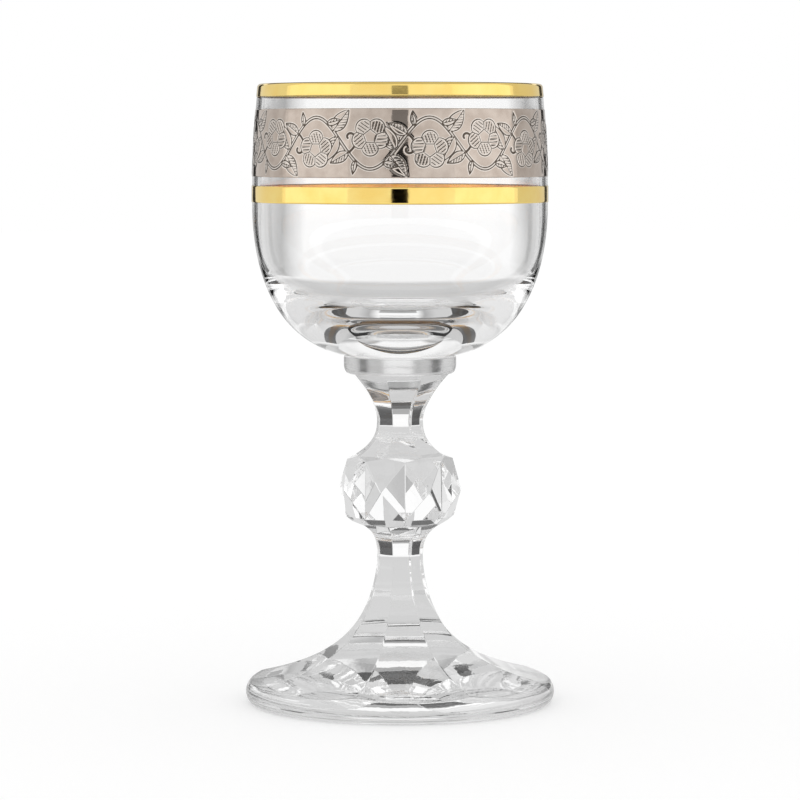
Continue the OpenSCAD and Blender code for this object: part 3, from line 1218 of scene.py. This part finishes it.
def near_line(points):
    """Distance from every place of the tile to a line of points."""
    best = np.full(across.shape, 1e9)
    for (x0, y0), (x1, y1) in zip(points, points[1:]):
        px = wrapped(across - x0)
        dx, dy = x1 - x0, y1 - y0
        share = np.clip((px * dx + (up - y0) * dy) / (dx * dx + dy * dy + 1e-12), 0, 1)
        best = np.minimum(best, np.hypot(px - share * dx, up - y0 - share * dy))
    return best


# %% Rules that turn distances into heights
height = np.zeros(across.shape)
cut = np.zeros(across.shape)


def engrave(distance, width=line_w, depth=1.0):
    """Cuts a soft groove along a line."""
    global cut
    cut = np.maximum(cut, depth * np.exp(-(distance / width) ** 2))


def lay(inside, level):
    """Lifts the ground inside an outline, wiping what was cut there, and cuts round it."""
    global height, cut
    cover = np.clip(0.5 - inside / outline_soft, 0, 1)
    height = height * (1 - cover) + level * cover
    cut = cut * (1 - cover)
    engrave(inside)


def hatch(mask, coordinate, spacing, depth=0.9):
    """Cuts parallel lines where the mask allows it."""
    global cut
    lines = np.clip(0.5 + np.cos(coordinate * 2 * math.pi / spacing), 0, 1)
    cut = np.maximum(cut, depth * lines * np.clip(mask, 0, 1))


def draw_vine(points, half_width):
    """A stem along a line of points, the highest of the motifs."""
    lay(near_line(points) - half_width, vine_level)


def draw_leaf(base, tip, width, hatched_side):
    """A pointed leaf from its base to its tip. One side of its rib is hatched."""
    rib_w, beside_rib, deepest = 0.11, 0.1, 0.6
    hatch_spacing, hatch_slant = 0.55, 0.9
    length = math.hypot(tip[0] - base[0], tip[1] - base[1])
    cosine, sine = (tip[0] - base[0]) / length, (tip[1] - base[1]) / length
    px, py = wrapped(across - base[0]), up - base[1]
    along, aside = px * cosine + py * sine, py * cosine - px * sine
    share = np.clip(along / length, 0, 1)
    half = width * np.sin(math.pi * share ** 0.75) ** 0.9
    past = np.maximum(np.maximum(-along, along - length), 0)
    outside = np.hypot(np.maximum(np.abs(aside) - half, 0), past)
    within = np.maximum(np.minimum(half - np.abs(aside), deepest) * (past == 0), 0)
    inside = outside - within
    lay(inside, raised)
    engrave(np.hypot(aside, past), rib_w)
    mask = fade(-inside, 0, 0.25) * (aside * hatched_side > beside_rib)
    hatch(mask, along - hatch_slant * np.abs(aside), hatch_spacing)


def draw_flower(middle, size, turn):
    """Hatched petals round a plain heart with as many sides as there are petals."""
    petals, petal_root, petal_length, heart_share = 5, 0.66, 0.34, 0.3
    hatch_turn, hatch_spacing = 0.35, 0.5
    px, py = wrapped(across - middle[0]), up - middle[1]
    distance, angle = np.hypot(px, py), np.arctan2(py, px) - turn
    petal = np.round(angle * petals / (2 * math.pi))
    local = angle - petal * 2 * math.pi / petals
    edge = size * (petal_root + petal_length * np.cos(local * 2.3) ** 0.7)
    lay(distance - edge, petal_level)
    side = (angle + math.pi / petals) % (2 * math.pi / petals) - math.pi / petals
    heart = heart_share * size / np.cos(side)
    cleft = distance * np.abs(np.sin(np.abs(local) - math.pi / petals))
    engrave(np.where((distance > heart) & (distance < edge), cleft, 9), fine_line_w)
    engrave(np.abs(distance - heart), fine_line_w)
    facing = turn + petal * 2 * math.pi / petals + hatch_turn
    stripe = py * np.cos(facing) - px * np.sin(facing)
    mask = fade(edge - distance, 0.2, 0.15) * fade(distance - heart, 0.15, 0.1)
    hatch(mask * fade(cleft, 0.12, 0.1), stripe, hatch_spacing)


# %% Draw one repeat of the scroll
vine_swing = 0.37 * frieze_h


def vine_height(share):
    """Height of the vine where the repeat is done by this share."""
    return frieze_h / 2 + vine_swing * math.sin(2 * math.pi * share)


def curl(share, length, turns, heading, spin):
    """A shoot that leaves the vine in a direction, in degrees, and curls up."""
    steps = 28
    place, angle = (share * repeat_w, vine_height(share)), math.radians(heading)
    points = [place]
    for step in range(steps):
        done = step / steps
        reach = length / steps * (1.6 - 1.2 * done)
        place = (place[0] + reach * math.cos(angle), place[1] + reach * math.sin(angle))
        angle += spin * turns * 2 * math.pi / steps * (0.4 + 1.2 * done)
        points.append(place)
    return points


def leaf_on_vine(share, heading, length, width, hatched_side):
    """A leaf whose base is on the vine and whose tip lies in a direction, in degrees."""
    base = (share * repeat_w, vine_height(share))
    turn = math.radians(heading)
    draw_leaf(base, (base[0] + length * math.cos(turn), base[1] + length * math.sin(turn)),
              width, hatched_side)


def draw_repeat():
    """Two shoots, the vine, five leaves on each half of it, and two flowers."""
    shoot_w, shoot_length, shoot_turns = 0.09, 5.2, 0.85
    vine_w, vine_steps, flower_size, flower_turn = 0.2, 96, 3.15, 0.3
    leaves = (
        (0.96, 118, 4.6, 1.15, 1),
        (0.06, 152, 3.6, 0.85, -1),
        (0.42, 52, 4.4, 1.2, -1),
        (0.36, 12, 2.6, 0.55, 1),
        (0.12, 100, 2.2, 0.45, 1))
    draw_vine(curl(0.56, shoot_length, shoot_turns, 35, 1), shoot_w)
    draw_vine(curl(0.06, shoot_length, shoot_turns, -35, -1), shoot_w)
    draw_vine([(share * repeat_w, vine_height(share))
               for share in np.linspace(0, 1, vine_steps + 1)], vine_w)
    for half, way in ((0.0, 1), (0.5, -1)):
        for share, heading, length, width, side in leaves:
            leaf_on_vine(half + share, way * heading, length, width, way * side)
    draw_flower((0.25 * repeat_w, 0.405 * frieze_h), flower_size, flower_turn)
    draw_flower((0.75 * repeat_w, 0.595 * frieze_h), flower_size, -flower_turn)


draw_repeat()
print(f"one repeat is {repeat_w:.2f} mm wide and {frieze_h:.2f} mm high")

# %% Wrap the repeat round the bowl
platinum_face = 0.07
bare_edge_w = 0.35
thin_below = 0.15
edge_height = 0.6
scroll_turn = 17.0


def make_tile():
    """One repeat as a closed strip of shell, with how deep each place is cut."""
    bare_edge = np.clip(np.minimum(up, frieze_h - up) / bare_edge_w, 0, 1)
    out = platinum_face + height * bare_edge - groove * cut * bare_edge
    out = np.where(bare_edge < thin_below, platinum_face * edge_height, out)
    angles = across / repeat_w * 2 * half_panel - half_panel + math.radians(scroll_turn)
    heights = frieze_low + up
    radii = np.vectorize(outside_r)(heights) + out
    front = np.stack([radii * np.cos(angles), radii * np.sin(angles), heights], axis=-1)
    columns = tile_columns + 1
    rows = tile_rows + 1
    points = list(front.reshape(-1, 3))
    faces = [(i * rows + j, (i + 1) * rows + j, (i + 1) * rows + j + 1, i * rows + j + 1)
             for i in range(columns - 1) for j in range(rows - 1)]
    back = len(points)
    for i in range(columns):
        for z in (frieze_low, frieze_mid_z, frieze_high):
            radius = outside_r(z) - sunk
            points.append((radius * math.cos(angles[i, 0]), radius * math.sin(angles[i, 0]), z))
    for i in range(columns - 1):
        low, mid, high = back + 3 * i, back + 3 * i + 1, back + 3 * i + 2
        faces += [(low + 3, low, mid, mid + 3), (mid + 3, mid, high, high + 3),
                  (low, low + 3, (i + 1) * rows, i * rows),
                  (high + 3, high, i * rows + rows - 1, (i + 1) * rows + rows - 1)]
    mesh = mesh_in_metres("one repeat of the scroll", points, faces)
    # The cut depth is also the mask for the platinum's painted shade in each cut and painted
    # highlight along it.
    depth = mesh.attributes.new("cut", "FLOAT", "POINT")
    values = np.zeros(len(points), np.float32)
    values[:back] = (cut * bare_edge).reshape(-1)
    depth.data.foreach_set("value", values)
    return mesh


frieze = run_tree("platinum_scroll", make_tile(), circle_tree,
                  {"Copies": panel_count, "Material": fired_platinum})
finish_inner_side(frieze, platinum_under_glass_painted_shade)
finish_metal(frieze, "platinum_frieze")

# %% [markdown]
# ## Studio
#
# Clear glass shows nothing but what stands round it, so a photographer lights the
# surroundings and not the glass. Here the world is white, and panels stand in it where
# the glass or the metal has to show something darker or brighter.
#
# Large panels stand in front and at the sides, and a narrow dark gap at the camera
# gives the metal its dark stripe. Behind the glass, at a hand's span, low dark, grey and
# pale cards stand on each side, with a soft inner edge. They draw the dark lines along
# the edges of the glass, and the white gap between them keeps its middle clear. High
# dark panels behind give dark facets. To the camera the table is white like the world,
# and to the glass it is a little grey within a hand's span, which is painted shade round
# the glass.
#
# The camera never sees these panels. Each is made to be seen by mirrors only, by solid
# glass too, or by all glass. Light that comes through the whole bowl has passed four
# surfaces instead of two, so that only the last kind shows in it.

# %% White world and pale table
def make_world():
    """A white world all round."""
    world = bpy.data.worlds.new("white studio")
    bpy.context.scene.world = world
    world.use_nodes = True
    background = world.node_tree.nodes["Background"]
    feed(world.node_tree, background, {"Color": WHITE, "Strength": 1.0})


def make_floor():
    """A wide floor: white to the camera, and grey near the glass to all other light, which is
    painted shade.
    """
    half_size, floor_drop = 3.0, 0.00002
    own_white, camera_glow, painted_shade_glow, far_glow = 0.60, 0.41, 0.64, 1.0
    grey_end, white_start = 0.185, 0.225
    corners = ((-1, -1), (1, -1), (1, 1), (-1, 1))
    mesh = bpy.data.meshes.new("floor")
    mesh.from_pydata([(half_size * x, half_size * y, -floor_drop) for x, y in corners],
                     [], [(0, 1, 2, 3)])
    floor = place_object("floor", mesh)
    material, tree, shader = new_material("pale table")
    place = tree.nodes.new("ShaderNodeTexCoord").outputs["Object"]
    reach = tree.nodes.new("ShaderNodeVectorMath")
    reach.operation = "LENGTH"
    feed(tree, reach, {0: place})
    # Within a hand's span the table glows grey to glass and mirrors: painted shade round the glass.
    edge = tree.nodes.new("ShaderNodeMapRange")
    feed(tree, edge, {"Value": reach.outputs["Value"], "From Min": grey_end,
                      "From Max": white_start, "To Min": painted_shade_glow, "To Max": far_glow})
    by_camera = tree.nodes.new("ShaderNodeLightPath").outputs["Is Camera Ray"]
    by_glass = math_node(tree, "MULTIPLY", edge.outputs["Result"],
                         math_node(tree, "SUBTRACT", 1.0, by_camera))
    feed(tree, shader, {
        "Base Color": mix_colours(tree, by_camera, BLACK, grey(own_white)),
        "Roughness": 1.0, "Specular IOR Level": 0.0, "Emission Color": WHITE,
        "Emission Strength": math_node(tree, "MULTIPLY_ADD", by_camera, camera_glow, by_glass)})
    mesh.materials.append(material)


make_world()
make_floor()


# %% Panels that only reflections and refractions see
MIRRORS, SOLID_GLASS, ALL_GLASS = range(3)
one_bounce = 0.5
two_surfaces = 2.5


def panel_finish(name, seen_in):
    """A plain glow that is there for mirrors only, for solid glass too, or for all glass.
    Depths are whole numbers, so that the limits between them end in a half."""
    material = bpy.data.materials.new(name)
    material.use_nodes = True
    tree = material.node_tree
    tree.nodes.clear()
    glow = tree.nodes.new("ShaderNodeAttribute")
    glow.attribute_name = "glow"
    light = tree.nodes.new("ShaderNodeEmission")
    feed(tree, light, {"Strength": glow.outputs["Fac"]})
    output = tree.nodes.new("ShaderNodeOutputMaterial")
    if seen_in == ALL_GLASS:
        feed(tree, output, {"Surface": light.outputs[0]})
        return material
    path = tree.nodes.new("ShaderNodeLightPath")
    mirrored, passed = path.outputs["Glossy Depth"], path.outputs["Transmission Depth"]
    if seen_in == MIRRORS:
        inside = math_node(tree, "MINIMUM", passed, 1.0)
        met = math_node(tree, "GREATER_THAN", mirrored,
                        math_node(tree, "ADD", inside, one_bounce))
    else:
        met = math_node(tree, "MAXIMUM", math_node(tree, "GREATER_THAN", mirrored, one_bounce),
                        math_node(tree, "LESS_THAN", passed, two_surfaces))
    clear = tree.nodes.new("ShaderNodeBsdfTransparent")
    mix = tree.nodes.new("ShaderNodeMixShader")
    feed(tree, mix, {0: met, 1: clear.outputs[0], 2: light.outputs[0]})
    feed(tree, output, {"Surface": mix.outputs[0]})
    return material


panel_finishes = [panel_finish("panel for mirrors", MIRRORS),
                  panel_finish("panel for solid glass", SOLID_GLASS),
                  panel_finish("panel for all glass", ALL_GLASS)]


def panel(name, points, faces, glows, seen_in):
    """A panel with a glow at each of its points."""
    mesh = bpy.data.meshes.new(name)
    mesh.from_pydata(points, [], faces)
    mesh.attributes.new("glow", "FLOAT", "POINT").data.foreach_set("value", glows)
    mesh.materials.append(panel_finishes[seen_in])
    card = place_object(name, mesh)
    card.visible_camera = False
    card.visible_diffuse = False
    card.visible_shadow = False


camera_azimuth = -5.5


def standing_panel(name, start, end, distance, low, high, glow, seen_in=SOLID_GLASS):
    """An upright panel round the glass, from one bearing to another in degrees, at a
    distance and between two heights. Bearing 0 is the camera's, and + is to its right.
    The glow is one number, or one at the start and one at the end."""
    steps = 12
    at_start, at_end = glow if isinstance(glow, tuple) else (glow, glow)
    points, faces, glows = [], [], []
    for step in range(steps + 1):
        share = step / steps
        angle = math.radians(camera_azimuth + start + (end - start) * share - 90)
        for z in (low, high):
            points.append((distance * math.cos(angle), distance * math.sin(angle), z))
            glows.append(at_start + (at_end - at_start) * share)
    for step in range(steps):
        faces.append((2 * step, 2 * step + 2, 2 * step + 3, 2 * step + 1))
    panel(name, points, faces, glows, seen_in)


def ceiling_panel(name, start, end, height, inner, outer, glow):
    """A flat panel above the glass, between two bearings and two distances."""
    steps = 48
    points, faces = [], []
    for step in range(steps + 1):
        angle = math.radians(camera_azimuth + start + (end - start) * step / steps - 90)
        for radius in (inner, outer):
            points.append((radius * math.cos(angle), radius * math.sin(angle), height))
    for step in range(steps):
        faces.append((2 * step, 2 * step + 1, 2 * step + 3, 2 * step + 2))
    panel(name, points, faces, [glow] * len(points), SOLID_GLASS)


# %% Set the panels in front of the glass and beside it
far, top = 0.9, 0.86
gap_half = 6.3

for level, low, high, glow in (
        ("low", 0.0, 0.113, 0.0),
        ("middle", 0.113, 0.193, 0.03),
        ("high", 0.193, 0.308, 0.30)):
    standing_panel("camera_gap_" + level, -gap_half, gap_half, far, low, high, glow, MIRRORS)

for name, start, end, glow in (
        ("left_front", -40, -gap_half, 0.95),
        ("right_front", gap_half, 42, 1.05),
        ("left_side", -98, -40, 1.15),
        ("right_side", 42, 98, 1.18)):
    standing_panel(name, start, end, far, 0.0, top, glow)

ceiling_panel("ceiling", 0, 360, height=0.9, inner=0.001, outer=0.95, glow=0.62)
ceiling_panel("dark_ceiling_behind", 140, 220, height=0.89, inner=0.66, outer=0.95, glow=0.10)
print(f"panels stand {far} m away, up to {top} m high")

# %% Set the panels behind the glass
near, card_top = 0.235, 0.17
standing_panel("left_back", -145, -98, near, low=0.0, high=top, glow=0.80)
standing_panel("right_back", 98, 145, near, low=0.0, high=top, glow=0.72)

low_cards = (
    ("left_dark_gap", -156, -145, 0.04),
    ("right_dark_gap", 145, 155, 0.06),
    ("left_pale_behind", -164, -156, 0.62),
    ("left_grey_behind", -169, -164, (0.40, 0.62)),
    ("left_soft_behind", -172.5, -169, (1.0, 0.40)),
    ("right_pale_behind", 155, 161, 0.64),
    ("right_grey_behind", 161, 166, (0.64, 0.42)),
    ("right_soft_behind", 166, 170.5, (0.42, 1.0)))
for name, start, end, glow in low_cards:
    standing_panel(name, start, end, near, 0.0, card_top, glow, ALL_GLASS)

standing_panel("high_behind", 166, 194, far, low=0.26, high=0.45, glow=0.40)
standing_panel("higher_behind", 140, 220, far, low=0.45, high=0.88, glow=0.09)
print(len(low_cards), "low cards behind the glass")

# %% [markdown]
# ## Camera
#
# The camera stands near the height of the frieze and is aimed at the middle of the
# glass, so it looks down by four degrees. That is little enough for the sides of the
# glass not to lean together, and a long lens keeps its ellipses shallow.

# %% Place the camera
def make_camera():
    """A long lens, aimed at the middle of the glass from a little above."""
    distance = 0.587
    camera_z = 0.0957
    aim_z = 0.0515
    azimuth = math.radians(camera_azimuth)
    downward = math.atan((camera_z - aim_z) / distance)
    data = bpy.data.cameras.new("camera")
    data.lens = 155.9
    data.sensor_width = 36.0
    data.clip_start = 0.01
    camera = place_object("camera", data)
    camera.location = (distance * math.sin(azimuth), -distance * math.cos(azimuth), camera_z)
    camera.rotation_euler = (math.pi / 2 - downward, 0.0, azimuth)
    bpy.context.scene.camera = camera
    print(f"the camera looks down by {math.degrees(downward):.1f} degrees")


make_camera()
scene = bpy.context.scene
scene.view_settings.view_transform = "Standard"
scene.cycles.max_bounces = 24
scene.cycles.transmission_bounces = 24
scene.cycles.glossy_bounces = 16
scene.cycles.transparent_max_bounces = 32
